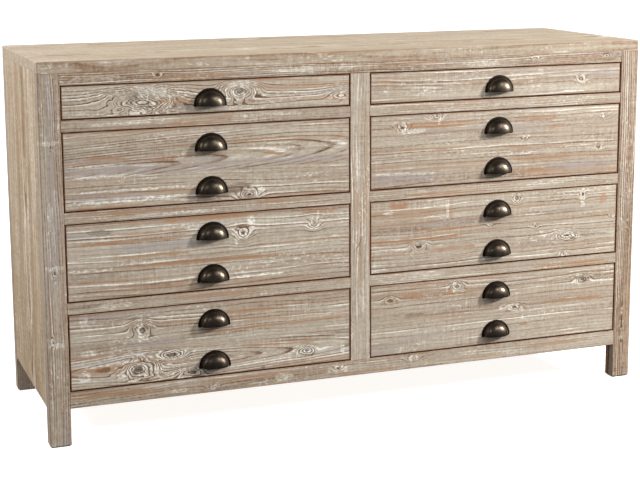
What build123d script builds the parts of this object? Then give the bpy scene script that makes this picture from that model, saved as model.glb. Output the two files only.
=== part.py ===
"""Eight-drawer apothecary chest in limed, reclaimed pine, with dark cup pulls.

A front frame of posts, rails and a centre stile carries two columns of inset
drawers: a shallow one at the top and three deep ones below, whose two pulls
make each look like a pair of small drawers. The chest stands on its posts.

Millimetres. X runs to the right, Y from the front to the back, Z up. The
origin is on the floor, in the middle of the whole chest with its pulls.
"""

import os
from math import cos, pi, radians, sin, tan

from build123d import *

# Front frame, across
POST_WIDTH = 51.0
OPENING_WIDTH = 710.5
STILE_WIDTH = 52.0

# Front frame, from the floor up
LEG_CLEARANCE = 93.0
BOTTOM_RAIL_HEIGHT = 40.0
DEEP_OPENING = 187.5
SHALLOW_OPENING = 80.0
DRAWER_RAIL_HEIGHT = 27.5
TOP_RAIL_HEIGHT = 29.0
TOP_THICKNESS = 27.0
DEEP_ROWS = 3

# Carcass, front to back
CHEST_DEPTH = 508.0
POST_DEPTH = 36.0
FRAME_THICKNESS = 24.0
SIDE_THICKNESS = 20.0
PARTITION_THICKNESS = 18.0
BACK_BOARD_THICKNESS = 10.0
BACK_BOARD_GAP = 1.0
BACK_BOARDS = 8
BACK_TOP_RAIL_HEIGHT = 60.0
FLOOR_BOARD_THICKNESS = 9.0

# Planks that the top and the sides are glued up from, front to back
TOP_PLANK_WIDTHS = (118.0, 134.0, 124.0)
SIDE_PLANK_WIDTHS = (116.0, 153.0)

# Joinery of the frame
TENON_LENGTH = 20.0
TENON_THICKNESS = 8.0
TENON_SHOULDER = 5.0
MORTISE_SLACK = 0.2
TONGUE_LENGTH = 7.0
TONGUE_THICKNESS = 7.0

# Softened edges
TOP_EDGE_RADIUS = 3.0
POST_EDGE_RADIUS = 2.5
RAIL_EDGE_RADIUS = 1.2
FOOT_CHAMFER = 5.0
BOARD_CHAMFER = 1.5

# Runners, guides and kickers that carry the drawers
RUNNING_GAP = 0.3
GUIDE_GAP = 0.6
GUIDE_HEIGHT = 14.0
STOP_LENGTH = 12.0

# Drawers
FRONT_GAP = 2.5
FRONT_SETBACK = 1.0
FRONT_THICKNESS = 20.0
FRONT_EDGE_RADIUS = 2.0
LOWER_PLANK_HEIGHT = 75.5
SPACE_BEHIND_DRAWER = 34.0
DRAWER_SIDE_THICKNESS = 14.0
DRAWER_BACK_THICKNESS = 12.0
SIDE_DROP = 1.5
BACK_DROP = 4.0
BOTTOM_THICKNESS = 6.0
BOTTOM_HEIGHT = 9.0
GROOVE_DEPTH = 6.0
GROOVE_SLACK = 0.4
DOVETAIL_LENGTH = 14.0
DOVETAIL_PITCH = 42.0
DOVETAIL_TAIL_SHARE = 0.62
DOVETAIL_ANGLE = 10.0

# Cup pulls: a half dome on a half-ring flange
FLANGE_RADIUS = 40.5
FLANGE_THICKNESS = 2.2
FLANGE_BEVEL = 1.2
EAR_LENGTH = 2.5
EAR_BEVEL = 2.0
DOME_RADIUS = 34.5
DOME_PROJECTION = 24.0
DOME_FULLNESS = 2.3
DOME_WALL = 1.8
OUTER_BANDS = 4
INNER_BANDS = 2
BOSS_RADIUS = 4.2
BOSS_LENGTH = 12.0
SCREW_SPACING = 52.0
SCREW_HEIGHT = 8.0
SCREW_RADIUS = 2.0
SCREW_BITE = 8.0
SCREW_HEAD_RADIUS = 4.0
SCREW_HEAD_HEIGHT = 2.6
SCREW_SIDES = 8
BORE_SLACK = 0.1
FRONT_HOLE_SLACK = 0.4

# Where the pulls sit on a deep drawer
UPPER_PULL_DROP = 18.5
LOWER_PULL_RISE = 24.5

# Overall sizes and the planes that everything is set out from
CHEST_WIDTH = 2 * POST_WIDTH + 2 * OPENING_WIDTH + STILE_WIDTH
PULL_OVERHANG = DOME_PROJECTION - FRONT_SETBACK
LEFT = -CHEST_WIDTH / 2
RIGHT = CHEST_WIDTH / 2
FRONT = (PULL_OVERHANG - CHEST_DEPTH) / 2
BACK = FRONT + CHEST_DEPTH
BOTTOM_RAIL_TOP = LEG_CLEARANCE + BOTTOM_RAIL_HEIGHT
ROW_STEP = DEEP_OPENING + DRAWER_RAIL_HEIGHT
TOP_RAIL_BOTTOM = BOTTOM_RAIL_TOP + DEEP_ROWS * ROW_STEP + SHALLOW_OPENING
TOP_UNDERSIDE = TOP_RAIL_BOTTOM + TOP_RAIL_HEIGHT
TENON_Y = FRONT + FRAME_THICKNESS / 2
FRONT_FACE = FRONT + FRONT_SETBACK
FRONT_INSIDE = FRONT_FACE + FRONT_THICKNESS
BACK_RAIL_Y = BACK - BACK_BOARD_THICKNESS - FRAME_THICKNESS
DRAWER_END = BACK_RAIL_Y - SPACE_BEHIND_DRAWER
RUNNER_Y = (FRONT + FRAME_THICKNESS, BACK - POST_DEPTH)
MIN_CORNER = (Align.MIN, Align.MIN, Align.MIN)


def block(x, y, z):
    """A board given by its start and end along each axis."""
    sizes = (x[1] - x[0], y[1] - y[0], z[1] - z[0])
    return Pos(x[0], y[0], z[0]) * Box(*sizes, align=MIN_CORNER)


def seams(start, widths, end):
    """The plank edges between start and end, with the last plank taking what is left."""
    edges = [start]
    for width in widths:
        edges.append(edges[-1] + width)
    return list(zip(edges, edges[1:] + [end]))


def column_left(column):
    """Where a column's drawer opening starts."""
    return LEFT + POST_WIDTH + column * (OPENING_WIDTH + STILE_WIDTH)


def row_heights(row):
    """Bottom and top of an opening. Row 0 is the shallow one at the top."""
    bottom = BOTTOM_RAIL_TOP + (DEEP_ROWS - row) * ROW_STEP
    return bottom, bottom + (SHALLOW_OPENING if row == 0 else DEEP_OPENING)


# Joints of the frame


def side_tenon(shoulder, out, z, slack=0.0):
    """A rail's end tenon, or with slack its mortise. out is +1 to the right, -1 to the left."""
    tip = shoulder + out * (TENON_LENGTH + slack)
    half = TENON_THICKNESS / 2 + slack
    heights = (z[0] + TENON_SHOULDER - slack, z[1] - TENON_SHOULDER + slack)
    return block(sorted((shoulder, tip)), (TENON_Y - half, TENON_Y + half), heights)


def stile_tenon(shoulder, up, slack=0.0):
    """The centre stile's end tenon, or with slack its mortise in the rail."""
    tip = shoulder + up * (TENON_LENGTH + slack)
    half_width = STILE_WIDTH / 2 - TENON_SHOULDER + slack
    half = TENON_THICKNESS / 2 + slack
    return block(
        (-half_width, half_width), (TENON_Y - half, TENON_Y + half), sorted((shoulder, tip))
    )


def front_rail(x, z):
    """A rail of the front frame, with its front edges softened and a tenon at each end."""
    rail = block(x, (FRONT, FRONT + FRAME_THICKNESS), z)
    rail = fillet(rail.edges().filter_by(Axis.X).group_by(Axis.Y)[0], RAIL_EDGE_RADIUS)
    return rail + side_tenon(x[0], -1, z) + side_tenon(x[1], 1, z)


def rail_heights():
    """Bottom and top of the three rails between the drawers of a column."""
    tops = [row_heights(row)[0] for row in range(DEEP_ROWS)]
    return [(top - DRAWER_RAIL_HEIGHT, top) for top in tops]


TOP_RAIL_Z = (TOP_RAIL_BOTTOM, TOP_UNDERSIDE)
BOTTOM_RAIL_Z = (LEG_CLEARANCE, BOTTOM_RAIL_TOP)
BACK_TOP_RAIL_Z = (TOP_UNDERSIDE - BACK_TOP_RAIL_HEIGHT, TOP_UNDERSIDE)


# Carcass


def top_board():
    """Four planks glued edge to edge, with the outer edges softened by wear."""
    board = block((LEFT, RIGHT), (FRONT, BACK), (TOP_UNDERSIDE, TOP_UNDERSIDE + TOP_THICKNESS))
    worn = board.edges().filter_by(Axis.Z) + board.edges().group_by(Axis.Z)[-1]
    board = fillet(worn, TOP_EDGE_RADIUS)
    reach = (LEFT, RIGHT)
    height = (TOP_UNDERSIDE, TOP_UNDERSIDE + TOP_THICKNESS)
    return [board & block(reach, y, height) for y in seams(FRONT, TOP_PLANK_WIDTHS, BACK)]


def tongue(y, inward, out, slack=0.0):
    """The tongue along a side panel's edge, or with slack its groove in the post."""
    tip = y + out * (TONGUE_LENGTH + slack)
    outer = SIDE_THICKNESS / 2 - TONGUE_THICKNESS / 2 - slack
    inner = SIDE_THICKNESS / 2 + TONGUE_THICKNESS / 2 + slack
    edge = LEFT if inward > 0 else RIGHT
    x = sorted((edge + inward * outer, edge + inward * inner))
    return block(x, sorted((y, tip)), (LEG_CLEARANCE, TOP_UNDERSIDE))


def side_panel(inward):
    """Upright planks between the posts. inward is +1 for the left side, -1 for the right."""
    edge = LEFT if inward > 0 else RIGHT
    x = sorted((edge, edge + inward * SIDE_THICKNESS))
    front, back = FRONT + POST_DEPTH, BACK - POST_DEPTH
    planks = [
        block(x, y, (LEG_CLEARANCE, TOP_UNDERSIDE))
        for y in seams(front, SIDE_PLANK_WIDTHS, back)
    ]
    planks[0] += tongue(front, inward, -1)
    planks[-1] += tongue(back, inward, 1)
    return planks


def worn_post(x, y, outside):
    """A post chamfered round its foot, its two outside corners softened. outside is 0 or -1."""
    post = block(x, y, (0, TOP_UNDERSIDE))
    post = chamfer(post.faces().sort_by(Axis.Z)[0].edges(), FOOT_CHAMFER)
    corners = post.edges().filter_by(Axis.Z).group_by(Axis.Y)[outside]
    return fillet(corners, POST_EDGE_RADIUS)


def front_post(inward):
    """A post with mortises for the front rails and a groove for the side panel."""
    edge = LEFT if inward > 0 else RIGHT
    x = sorted((edge, edge + inward * POST_WIDTH))
    post = worn_post(x, (FRONT, FRONT + POST_DEPTH), 0)
    shoulder = edge + inward * POST_WIDTH
    for z in [TOP_RAIL_Z, *rail_heights(), BOTTOM_RAIL_Z]:
        post -= side_tenon(shoulder, -inward, z, MORTISE_SLACK)
    return post - tongue(FRONT + POST_DEPTH, inward, -1, MORTISE_SLACK)


def back_tenon(shoulder, out, z, slack=0.0):
    """A back rail's end tenon, or with slack its mortise."""
    shift = BACK_RAIL_Y + FRAME_THICKNESS / 2 - TENON_Y
    return Pos(0, shift, 0) * side_tenon(shoulder, out, z, slack)


def back_post(inward):
    """A post with mortises for the back rails and a groove for the side panel."""
    edge = LEFT if inward > 0 else RIGHT
    x = sorted((edge, edge + inward * POST_WIDTH))
    post = worn_post(x, (BACK - POST_DEPTH, BACK), -1)
    shoulder = edge + inward * POST_WIDTH
    for z in (BACK_TOP_RAIL_Z, BOTTOM_RAIL_Z):
        post -= back_tenon(shoulder, -inward, z, MORTISE_SLACK)
    return post - tongue(BACK - POST_DEPTH, inward, 1, MORTISE_SLACK)


def centre_stile():
    """The upright between the two columns, tenoned into the top and bottom rails."""
    half = STILE_WIDTH / 2
    stile = block(
        (-half, half), (FRONT, FRONT + FRAME_THICKNESS), (BOTTOM_RAIL_TOP, TOP_RAIL_BOTTOM)
    )
    stile = fillet(stile.edges().filter_by(Axis.Z).group_by(Axis.Y)[0], RAIL_EDGE_RADIUS)
    stile += stile_tenon(TOP_RAIL_BOTTOM, 1) + stile_tenon(BOTTOM_RAIL_TOP, -1)
    for z in rail_heights():
        stile -= side_tenon(-half, 1, z, MORTISE_SLACK)
        stile -= side_tenon(half, -1, z, MORTISE_SLACK)
    return stile


def long_rail(z, shoulder, into):
    """The top or bottom rail, mortised for the centre stile's tenon."""
    rail = front_rail((LEFT + POST_WIDTH, RIGHT - POST_WIDTH), z)
    return rail - stile_tenon(shoulder, into, MORTISE_SLACK)


def drawer_rails(column):
    """The three rails between the drawers of one column."""
    left = column_left(column)
    return [front_rail((left, left + OPENING_WIDTH), z) for z in rail_heights()]


def back_rails():
    """The two rails that the back boards are nailed to."""
    x = (LEFT + POST_WIDTH, RIGHT - POST_WIDTH)
    y = (BACK_RAIL_Y, BACK_RAIL_Y + FRAME_THICKNESS)
    return [
        block(x, y, z) + back_tenon(x[0], -1, z) + back_tenon(x[1], 1, z)
        for z in (BACK_TOP_RAIL_Z, BOTTOM_RAIL_Z)
    ]


def back_boards():
    """Upright boards between the back posts, their outer edges chamfered to a V at each joint."""
    start = LEFT + POST_WIDTH
    pitch = (CHEST_WIDTH - 2 * POST_WIDTH) / BACK_BOARDS
    boards = []
    for i in range(BACK_BOARDS):
        x = (start + i * pitch + BACK_BOARD_GAP / 2, start + (i + 1) * pitch - BACK_BOARD_GAP / 2)
        board = block(x, (BACK - BACK_BOARD_THICKNESS, BACK), (LEG_CLEARANCE, TOP_UNDERSIDE))
        outer = board.edges().filter_by(Axis.Z).group_by(Axis.Y)[-1]
        boards.append(chamfer(outer, BOARD_CHAMFER))
    return boards


def centre_partition():
    """The upright board behind the centre stile that carries the inner runners."""
    half = PARTITION_THICKNESS / 2
    z = (LEG_CLEARANCE + FLOOR_BOARD_THICKNESS, TOP_UNDERSIDE)
    return block((-half, half), (FRONT + FRAME_THICKNESS, BACK_RAIL_Y), z)


def floor_board():
    """The thin board that closes the carcass from below, between the bottom rails."""
    z = (LEG_CLEARANCE, LEG_CLEARANCE + FLOOR_BOARD_THICKNESS)
    between_posts = (LEFT + POST_WIDTH, RIGHT - POST_WIDTH)
    between_sides = (LEFT + SIDE_THICKNESS, RIGHT - SIDE_THICKNESS)
    board = block(between_posts, (FRONT + FRAME_THICKNESS, BACK_RAIL_Y), z)
    return board + block(between_sides, (FRONT + POST_DEPTH, BACK - POST_DEPTH), z)


def runner_span(column, inward):
    """Across a runner: the board that carries it, the guide's edge, under the drawer side."""
    left = column_left(column)
    edge = left if inward > 0 else left + OPENING_WIDTH
    outer = (column == 0) == (inward > 0)
    carrier = abs(LEFT) - SIDE_THICKNESS if outer else PARTITION_THICKNESS / 2
    carrier = carrier if edge > 0 else -carrier
    guide = edge + inward * (FRONT_GAP - GUIDE_GAP)
    seat = edge + inward * (FRONT_GAP + DRAWER_SIDE_THICKNESS)
    return carrier, guide, seat


def post_corner(column, inward):
    """What an outer runner or kicker is notched by, where it passes a front post."""
    edge = LEFT if column == 0 else RIGHT
    side = 1 if column == 0 else -1
    if inward != side:
        return Part()
    x = sorted((edge, edge + side * POST_WIDTH))
    return block(x, (FRONT, FRONT + POST_DEPTH), (0, TOP_UNDERSIDE))


def runner(column, row, inward):
    """The ledge that a drawer side slides on, level with the rail in front of it."""
    carrier, _, seat = runner_span(column, inward)
    floor = row_heights(row)[0]
    ledge = block(sorted((carrier, seat)), RUNNER_Y, (floor - DRAWER_RAIL_HEIGHT, floor))
    return ledge - post_corner(column, inward)


def guide(column, row, inward):
    """The strip on a runner that keeps the drawer from drifting sideways."""
    carrier, edge, _ = runner_span(column, inward)
    floor = row_heights(row)[0]
    strip = block(sorted((carrier, edge)), RUNNER_Y, (floor, floor + GUIDE_HEIGHT))
    return strip - post_corner(column, inward)


def stop(column, row, inward):
    """The block behind a drawer side that stops the front flush with the frame."""
    _, edge, seat = runner_span(column, inward)
    start = DRAWER_END + RUNNING_GAP
    floor = row_heights(row)[0]
    y = (start, start + STOP_LENGTH)
    return block(sorted((edge, seat)), y, (floor, floor + GUIDE_HEIGHT))


def kicker(column, inward):
    """The strip over a top drawer's side that keeps the drawer level when it is pulled out."""
    carrier, _, seat = runner_span(column, inward)
    strip = block(sorted((carrier, seat)), RUNNER_Y, TOP_RAIL_Z)
    return strip - post_corner(column, inward)


# Drawers


def drawer_span(column):
    """Left and right faces of a column's drawers."""
    left = column_left(column) + FRONT_GAP
    return left, left + OPENING_WIDTH - 2 * FRONT_GAP


def front_heights(row):
    """Bottom and top of a drawer front."""
    bottom, top = row_heights(row)
    return bottom + FRONT_GAP, top - FRONT_GAP


def tails(outer, inward, row, y):
    """A drawer side's dovetails, reaching forward from y into the back of the front."""
    bottom = front_heights(row)[0]
    height = front_heights(row)[1] - SIDE_DROP - bottom
    count = max(2, round(height / DOVETAIL_PITCH))
    pitch = height / count
    neck = pitch * DOVETAIL_TAIL_SHARE / 2
    tip = neck + DOVETAIL_LENGTH * tan(radians(DOVETAIL_ANGLE))
    start = min(outer, outer + inward * DRAWER_SIDE_THICKNESS)
    cut = Sketch()
    for i in range(count):
        z = bottom + (i + 0.5) * pitch
        corners = [
            (y, z - neck),
            (y, z + neck),
            (y - DOVETAIL_LENGTH, z + tip),
            (y - DOVETAIL_LENGTH, z - tip),
        ]
        cut += make_face(Polyline(*corners, close=True))
    return extrude(Plane.YZ.offset(start) * cut, amount=DRAWER_SIDE_THICKNESS)


def groove_heights(row, slack=0.0):
    """Bottom and top of the drawer bottom, or with slack of the groove that it slides into."""
    start = front_heights(row)[0] + BOTTOM_HEIGHT
    return start, start + BOTTOM_THICKNESS + slack


def pull_centres(column, row):
    """Middle of each pull's straight lower edge, top pull first."""
    left, right = drawer_span(column)
    bottom, top = row_heights(row)
    middle = (left + right) / 2
    if row == 0:
        return [(middle, (bottom + top - FLANGE_RADIUS) / 2)]
    upper = top - UPPER_PULL_DROP - FLANGE_RADIUS
    return [(middle, upper), (middle, bottom + LOWER_PULL_RISE)]


def screw_points(column, row):
    """Axis of every pull screw on a drawer."""
    reach = SCREW_SPACING / 2
    return [
        (x + side * reach, z + SCREW_HEIGHT)
        for x, z in pull_centres(column, row)
        for side in (-1, 1)
    ]


def rod(x, z, y, radius):
    """A near-round bar along Y from y[0] to y[1], for screws, their holes and their bosses."""
    section = RegularPolygon(radius, SCREW_SIDES, rotation=180 / SCREW_SIDES)
    return extrude(Pos(x, y[0], z) * Rot(-90, 0, 0) * section, amount=y[1] - y[0])


def drawer_front(column, row):
    """The inset front, glued up from two planks on a deep drawer."""
    left, right = drawer_span(column)
    bottom, top = front_heights(row)
    front = block((left, right), (FRONT_FACE, FRONT_INSIDE), (bottom, top))
    front = fillet(front.faces().sort_by(Axis.Y)[0].edges(), FRONT_EDGE_RADIUS)
    front -= tails(left, 1, row, FRONT_INSIDE)
    front -= tails(right, -1, row, FRONT_INSIDE)
    reach = DRAWER_SIDE_THICKNESS - GROOVE_DEPTH
    groove = (FRONT_INSIDE - GROOVE_DEPTH, FRONT_INSIDE)
    front -= block((left + reach, right - reach), groove, groove_heights(row, GROOVE_SLACK))
    for x, z in screw_points(column, row):
        front -= rod(x, z, (FRONT_FACE, FRONT_INSIDE), SCREW_RADIUS + FRONT_HOLE_SLACK)
    if row == 0:
        return [front]
    seam = bottom + LOWER_PLANK_HEIGHT
    depth = (FRONT_FACE, FRONT_INSIDE)
    return [front & block((left, right), depth, z) for z in ((bottom, seam), (seam, top))]


def drawer_side(column, row, inward):
    """A drawer side, dovetailed at its front end and grooved for the bottom."""
    left, right = drawer_span(column)
    outer = left if inward > 0 else right
    inner = outer + inward * DRAWER_SIDE_THICKNESS
    z = (row_heights(row)[0] + RUNNING_GAP, front_heights(row)[1] - SIDE_DROP)
    side = block(sorted((outer, inner)), (FRONT_INSIDE, DRAWER_END), z)
    side += tails(outer, inward, row, FRONT_INSIDE)
    groove = sorted((inner, inner - inward * GROOVE_DEPTH))
    along = (FRONT_INSIDE - GROOVE_DEPTH, DRAWER_END)
    return side - block(groove, along, groove_heights(row, GROOVE_SLACK))


def drawer_back(column, row):
    """The back of the drawer box, standing on its bottom."""
    left, right = drawer_span(column)
    x = (left + DRAWER_SIDE_THICKNESS, right - DRAWER_SIDE_THICKNESS)
    y = (DRAWER_END - DRAWER_BACK_THICKNESS, DRAWER_END)
    top = front_heights(row)[1] - SIDE_DROP - BACK_DROP
    return block(x, y, (groove_heights(row)[1], top))


def drawer_bottom(column, row):
    """The thin board that slides into the grooves from behind, under the back."""
    left, right = drawer_span(column)
    reach = DRAWER_SIDE_THICKNESS - GROOVE_DEPTH + GROOVE_SLACK
    x = (left + reach, right - reach)
    y = (FRONT_INSIDE - GROOVE_DEPTH + GROOVE_SLACK, DRAWER_END)
    return block(x, y, groove_heights(row))


# Cup pulls


def half_turn(profile):
    """Turns a profile about the pull's axis into its upper half, rising towards -Y."""
    return Rot(180, 0, 0) * revolve(profile, Axis.Y, 180)


def dome(bands, inset=0.0):
    """Half of a full, round dome, turned from a profile of a few straight bands.

    A fullness of 2 is an ellipse, and more makes the shoulder squarer.
    """
    radius, height = DOME_RADIUS - inset, DOME_PROJECTION - inset
    angles = [pi / 2 * i / bands for i in range(bands)]
    power = 2 / DOME_FULLNESS
    outline = [(radius * cos(a) ** power, height * sin(a) ** power) for a in angles]
    return half_turn(make_face(Polyline((0, 0), *outline, (0, height), close=True)))


def flange():
    """The flat half ring round the dome, with a bevelled rim and a short ear at each end."""
    inner = DOME_RADIUS - DOME_WALL
    ring = Pos((inner + FLANGE_RADIUS) / 2, FLANGE_THICKNESS / 2)
    ring *= Rectangle(FLANGE_RADIUS - inner, FLANGE_THICKNESS)
    rim = ring.vertices().sort_by(Axis.X)[-2:].sort_by(Axis.Y)[-1]
    plate = half_turn(chamfer(rim, FLANGE_BEVEL))
    for side in (-1, 1):
        x = sorted((side * inner, side * (FLANGE_RADIUS - FLANGE_BEVEL)))
        ear = block(x, (-FLANGE_THICKNESS, 0), (-EAR_LENGTH, 0))
        plate += chamfer(ear.edges().filter_by(Axis.Y).group_by(Axis.Z)[0], EAR_BEVEL)
    return plate


def cup_pull():
    """One pull with its back on Y = 0: an open half dome, its flange and two screw bosses."""
    solid_dome = dome(OUTER_BANDS)
    reach = SCREW_SPACING / 2
    pull = solid_dome + flange() - dome(INNER_BANDS, DOME_WALL)
    for side in (-1, 1):
        boss = rod(side * reach, SCREW_HEIGHT, (-BOSS_LENGTH, 0), BOSS_RADIUS)
        pull += boss & solid_dome
    for side in (-1, 1):
        depth = (-SCREW_BITE - BORE_SLACK, 0)
        pull -= rod(side * reach, SCREW_HEIGHT, depth, SCREW_RADIUS + BORE_SLACK)
    return pull


def pull_screw(x, z):
    """A machine screw put in from inside the drawer, its head on the back of the front."""
    shank = rod(x, z, (FRONT_FACE - SCREW_BITE, FRONT_INSIDE), SCREW_RADIUS)
    head = rod(x, z, (FRONT_INSIDE, FRONT_INSIDE + SCREW_HEAD_HEIGHT), SCREW_HEAD_RADIUS)
    return shank + head


# The assembly: one file for each named piece or group of like pieces


def solids(pieces):
    """One compound that holds each piece as a solid of its own."""
    pieces = pieces if isinstance(pieces, list) else [pieces]
    return Compound([solid for piece in pieces for solid in piece.solids()])


def sides_of_drawers(piece):
    """A piece that repeats on both sides of every drawer."""
    columns, rows, sides = (0, 1), range(DEEP_ROWS + 1), (1, -1)
    return [piece(column, row, side) for column in columns for row in rows for side in sides]


def carcass():
    return {
        "top_board": top_board(),
        "left_side_panel": side_panel(1),
        "right_side_panel": side_panel(-1),
        "front_left_post": front_post(1),
        "front_right_post": front_post(-1),
        "back_left_post": back_post(1),
        "back_right_post": back_post(-1),
        "centre_stile": centre_stile(),
        "top_rail": long_rail(TOP_RAIL_Z, TOP_RAIL_BOTTOM, 1),
        "bottom_rail": long_rail(BOTTOM_RAIL_Z, BOTTOM_RAIL_TOP, -1),
        "left_drawer_rails": drawer_rails(0),
        "right_drawer_rails": drawer_rails(1),
        "back_rails": back_rails(),
        "back_boards": back_boards(),
        "centre_partition": centre_partition(),
        "floor_board": floor_board(),
        "top_kickers": [kicker(column, side) for column in (0, 1) for side in (1, -1)],
        "drawer_runners": sides_of_drawers(runner),
        "drawer_guides": sides_of_drawers(guide),
        "drawer_stops": sides_of_drawers(stop),
    }


def drawers():
    nodes = {}
    pull = cup_pull()
    for column, side in enumerate(("left", "right")):
        for row in range(DEEP_ROWS + 1):
            name = f"{side}_drawer_{row + 1}"
            nodes[f"{name}_front"] = drawer_front(column, row)
            nodes[f"{name}_box"] = [
                drawer_side(column, row, 1),
                drawer_side(column, row, -1),
                drawer_back(column, row),
            ]
            nodes[f"{name}_bottom"] = drawer_bottom(column, row)
            nodes[f"{name}_pulls"] = [
                Pos(x, FRONT_FACE, z) * pull for x, z in pull_centres(column, row)
            ]
            nodes[f"{name}_screws"] = [pull_screw(x, z) for x, z in screw_points(column, row)]
    return nodes


os.makedirs("parts", exist_ok=True)
for name, pieces in {**carcass(), **drawers()}.items():
    export_step(solids(pieces), f"parts/{name}.step")
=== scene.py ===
import math

import bmesh
import bpy
from mathutils import Matrix, Vector


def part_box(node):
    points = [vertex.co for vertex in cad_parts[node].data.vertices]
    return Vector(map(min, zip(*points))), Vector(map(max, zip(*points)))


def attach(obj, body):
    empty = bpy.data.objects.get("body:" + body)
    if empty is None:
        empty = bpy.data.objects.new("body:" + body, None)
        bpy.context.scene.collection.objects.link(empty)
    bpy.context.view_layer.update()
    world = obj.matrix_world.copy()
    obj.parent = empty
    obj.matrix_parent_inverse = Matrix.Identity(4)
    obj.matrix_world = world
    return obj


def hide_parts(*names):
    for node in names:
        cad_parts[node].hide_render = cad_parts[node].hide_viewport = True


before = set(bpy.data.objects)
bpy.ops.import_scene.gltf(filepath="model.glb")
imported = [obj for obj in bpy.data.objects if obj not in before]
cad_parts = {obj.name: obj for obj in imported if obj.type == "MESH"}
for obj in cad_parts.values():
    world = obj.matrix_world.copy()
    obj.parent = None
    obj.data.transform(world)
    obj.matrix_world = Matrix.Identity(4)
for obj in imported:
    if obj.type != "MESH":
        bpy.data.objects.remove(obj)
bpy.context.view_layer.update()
MM = 0.001


# Camera, floor and light
# The view is from in front of the left end, a little above the top, through a long lens.
# The floor is a plain pale sheet. The room is soft and bright, with the key lamp on the right,
# a dim one high in front, two smaller ones on the left and one behind.

CAMERA_PLACE = Vector((-1.35235, -3.5804, 1.2186))
CAMERA_YAW, CAMERA_PITCH, CAMERA_ROLL = 0.3573, 0.1719, -0.0051
CAMERA_LENS, CAMERA_SENSOR, CAMERA_SHIFT = 83.09, 36.0, -0.09375
FLOOR_HALF = 40.0
FLOOR_GREY, FLOOR_ROUGHNESS, FLOOR_GLOW = (0.62, 0.62, 0.62, 1.0), 0.9, 0.86

camera = bpy.data.objects.new("camera", bpy.data.cameras.new("camera"))
bpy.context.scene.collection.objects.link(camera)
camera.data.lens, camera.data.sensor_width = CAMERA_LENS, CAMERA_SENSOR
camera.data.shift_y = CAMERA_SHIFT
level = math.cos(CAMERA_PITCH)
forward = Vector((
    math.sin(CAMERA_YAW) * level, math.cos(CAMERA_YAW) * level, -math.sin(CAMERA_PITCH)
))
right = Vector((math.cos(CAMERA_YAW), -math.sin(CAMERA_YAW), 0.0))
up = right.cross(forward)
lean = math.cos(CAMERA_ROLL), math.sin(CAMERA_ROLL)
right, up = lean[0] * right + lean[1] * up, lean[0] * up - lean[1] * right
camera.matrix_world = Matrix.Translation(CAMERA_PLACE) @ Matrix(
    (right, up, -forward)
).transposed().to_4x4()
bpy.context.scene.camera = camera

floor = bpy.data.objects.new("floor", bpy.data.meshes.new("floor"))
floor.data.from_pydata(
    [(x * FLOOR_HALF, y * FLOOR_HALF, 0.0) for x, y in ((-1, -1), (1, -1), (1, 1), (-1, 1))],
    [], [(0, 1, 2, 3)],
)
bpy.context.scene.collection.objects.link(floor)
floor_finish = bpy.data.materials.new("pale floor")
floor_finish.use_nodes = True
floor_shader = floor_finish.node_tree.nodes["Principled BSDF"]
floor_shader.inputs["Base Color"].default_value = FLOOR_GREY
floor_shader.inputs["Roughness"].default_value = FLOOR_ROUGHNESS
floor_shader.inputs["Emission Color"].default_value = (1.0, 1.0, 1.0, 1.0)
floor_shader.inputs["Emission Strength"].default_value = FLOOR_GLOW
floor.data.materials.append(floor_finish)
# The even light from below stands in for what the floor would throw back.
floor.visible_diffuse = floor.visible_glossy = False


def soft_box(name, place, aim, size, power, colour=(1.0, 1.0, 1.0)):
    """A square lamp at a place, turned towards the point that it is aimed at."""
    light = bpy.data.lights.new(name, "AREA")
    light.size, light.energy, light.color = size, power, colour
    holder = bpy.data.objects.new(name, light)
    holder.location = place
    holder.rotation_euler = (Vector(aim) - Vector(place)).to_track_quat("-Z", "Y").to_euler()
    holder.visible_camera = False
    bpy.context.scene.collection.objects.link(holder)


CHEST_MIDDLE = (0.0, -0.25, 0.5)
soft_box("key lamp", (3.20, -2.05, 1.87), CHEST_MIDDLE, 0.42, 218, (1.0, 0.99, 0.97))
soft_box("upper lamp", (1.50, -2.90, 2.50), CHEST_MIDDLE, 0.9, 33, (0.97, 0.99, 1.0))
soft_box("left lamp", (-3.15, -0.15, 1.97), CHEST_MIDDLE, 0.4, 38)
soft_box("front lamp", (-1.93, -2.43, 2.17), CHEST_MIDDLE, 0.2, 9)
soft_box("back lamp", (-2.60, 2.90, 2.10), (0.0, 0.2, 0.6), 1.0, 80)
room = bpy.data.worlds.new("room")
bpy.context.scene.world = room
room.use_nodes = True
CEILING, WALLS, FROM_BELOW, IN_GLOSS = 0.97, 0.15, 0.35, 0.12
BACKDROP_WHITE, BELOW_REACH = (0.985, 0.99, 1.0, 1.0), -0.1


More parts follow.
